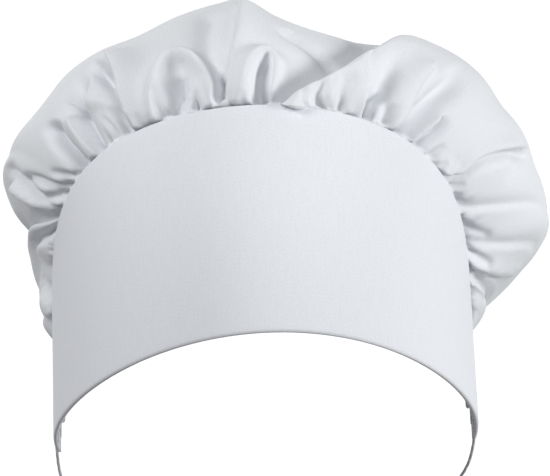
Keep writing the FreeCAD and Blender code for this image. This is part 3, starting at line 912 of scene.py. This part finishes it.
SWEATBAND_ANGLE = 58.0
SWEATBAND_WIDTH = 26.0
SWEATBAND_LIFT = 3.0
SWEATBAND_FLAT = (188, 26)
SWEATBAND_FACE = 185.0  # its face, from end to end
SWEATBAND_THICK = 0.5
TOWELLING_PILE = 1.0
PILE_EDGE = 1.2         # from an edge to where the pile is full
LOOP_RELIEF = 0.12
SWEATBAND_CLEARANCE = 0.1
LABEL_TOP = 88.0
LABEL_THICK = 0.22
LABEL_CLEARANCE = 0.72
LABEL_CURL = 2.2        # how far the foot of a label stands off


def round_from_axis(points):
    """Unit vectors straight out from the head form's upright axis."""
    return unit(np.stack([points[:, 0], points[:, 1] - WIDEST_Y, 0 * points[:, 2]], axis=-1))


def sweatband_shape(u, v):
    """The towelling's face: a cushion with its edges sewn down, in small loops."""
    angle = SWEATBAND_ANGLE * (2 * u - 1)
    flat = head_point(angle, band_low_height(angle) + SWEATBAND_LIFT + SWEATBAND_WIDTH * v)
    edge = np.minimum(np.minimum(v, 1 - v) * SWEATBAND_WIDTH, np.minimum(u, 1 - u) * SWEATBAND_FACE)
    pile = TOWELLING_PILE * np.clip(edge / PILE_EDGE, 0, 1) ** 0.5
    loops = LOOP_RELIEF * np.sin(u * 1450 + 3 * np.sin(v * 60)) * np.sin(v * 210 + 2 * np.sin(u * 260))
    return flat - round_from_axis(flat) * (SWEATBAND_CLEARANCE + pile + loops)[:, None]


# Cotton towelling: uncut loops a millimetre across, matt, with painted shade down between them.
towelling, tree = new_material("looped_towelling")
coords = add_node(tree, "ShaderNodeTexCoord")
loops = add_node(tree, "ShaderNodeTexVoronoi", {"Vector": coords.outputs["UV"], "Scale": 1.1})
bump = add_node(
    tree, "ShaderNodeBump", {"Height": loops.outputs["Distance"], "Strength": 0.8, "Distance": 0.4 * MM},
    invert=True,
)
# Painted shade: the colour darkens with the distance from each loop's middle, down into the gaps where the loops
# shade one another.
tint = add_node(
    tree, "ShaderNodeMix", {0: loops.outputs["Distance"], 6: srgb("F2F3F4"), 7: srgb("DADCDF")},
    data_type="RGBA",
)
finish_material(
    tree, Base_Color=tint.outputs[2], Roughness=0.95, Normal=bump.outputs["Normal"], Sheen_Weight=0.2,
)

# Its face looks inwards, at the wearer, so the sheet is turned over before it gets its thickness.
sweatband = cloth("towelling_sweatband", 300, 44, sweatband_shape, SWEATBAND_FLAT)
sweatband.data.flip_normals()
thicken(sweatband, SWEATBAND_THICK)
sweatband.data.materials.append(towelling)
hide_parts("sweatband")

# Polyester satin ribbon: smooth, with a soft sheen along its floats.
satin, tree = new_material("satin_ribbon")
coords = add_node(tree, "ShaderNodeTexCoord")
floats = add_node(tree, "ShaderNodeMapping", {"Vector": coords.outputs["UV"], "Scale": (3.0, 0.3, 1)})
grain = add_node(tree, "ShaderNodeTexNoise", {"Vector": floats.outputs[0], "Scale": 1.0, "Detail": 2.0})
bump = add_node(
    tree, "ShaderNodeBump", {"Height": grain.outputs["Fac"], "Strength": 0.25, "Distance": 0.08 * MM},
)
finish_material(
    tree, Base_Color=srgb("F1F1EF"), Roughness=0.42, Normal=bump.outputs["Normal"], Sheen_Weight=0.1,
)

for name, node, angle, width, drop in (
    ("care_label_tab", "care_label", 62.0, 20.0, 32.0),
    ("size_label_tab", "size_label", 75.0, 12.0, 14.0),
):
    def label_shape(u, v):
        """A tab that hangs from its sewn top and curls away from the lining at its foot."""
        turn = angle + math.degrees(width / HEAD_HALF_WIDTH) * (u - 0.5)
        flat = head_point(turn, LABEL_TOP - drop * (1 - v))
        curl = LABEL_CLEARANCE + LABEL_CURL * (1 - v) ** 2 * (1 + 0.4 * np.sin(3 * u))
        return flat - round_from_axis(flat) * curl[:, None]

    label = cloth(name, 12, 16, label_shape, (width, drop))
    label.data.flip_normals()
    thicken(label, LABEL_THICK)
    label.data.materials.append(satin)
    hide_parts(node)


# ---------------------------------------------------------------- interfacing and sewing thread
# The interfacing lies unseen between band cloth and lining. The thread is spun polyester,
# slightly brighter than the cloth, and each row of stitches is as it was sewn.

# Woven interfacing: a coarse plain weave in 0.7 mm squares, matt and yellowish with dressing.
canvas, tree = new_material("dressed_interfacing")
coords = add_node(tree, "ShaderNodeTexCoord")
weave = add_node(tree, "ShaderNodeTexChecker", {"Vector": coords.outputs["Object"], "Scale": 1400.0})
bump = add_node(
    tree, "ShaderNodeBump", {"Height": weave.outputs["Fac"], "Strength": 0.4, "Distance": 0.15 * MM},
)
finish_material(tree, Base_Color=srgb("E2E1DA"), Roughness=0.9, Normal=bump.outputs["Normal"])
finish_cad("band_interfacing", canvas)

# Spun thread: a faint twist, with more gloss than the cloth round it.
thread, tree = new_material("spun_polyester_thread")
coords = add_node(tree, "ShaderNodeTexCoord")
twist = add_node(tree, "ShaderNodeTexNoise", {"Vector": coords.outputs["Object"], "Scale": 5000.0, "Detail": 1.0})
bump = add_node(
    tree, "ShaderNodeBump", {"Height": twist.outputs["Fac"], "Strength": 0.3, "Distance": 0.05 * MM},
)
finish_material(tree, Base_Color=srgb("F0F1F4"), Roughness=0.55, Normal=bump.outputs["Normal"])
for name in nodes:
    if name.endswith("_stitching") or "_tack_" in name:
        finish_cad(name, thread)
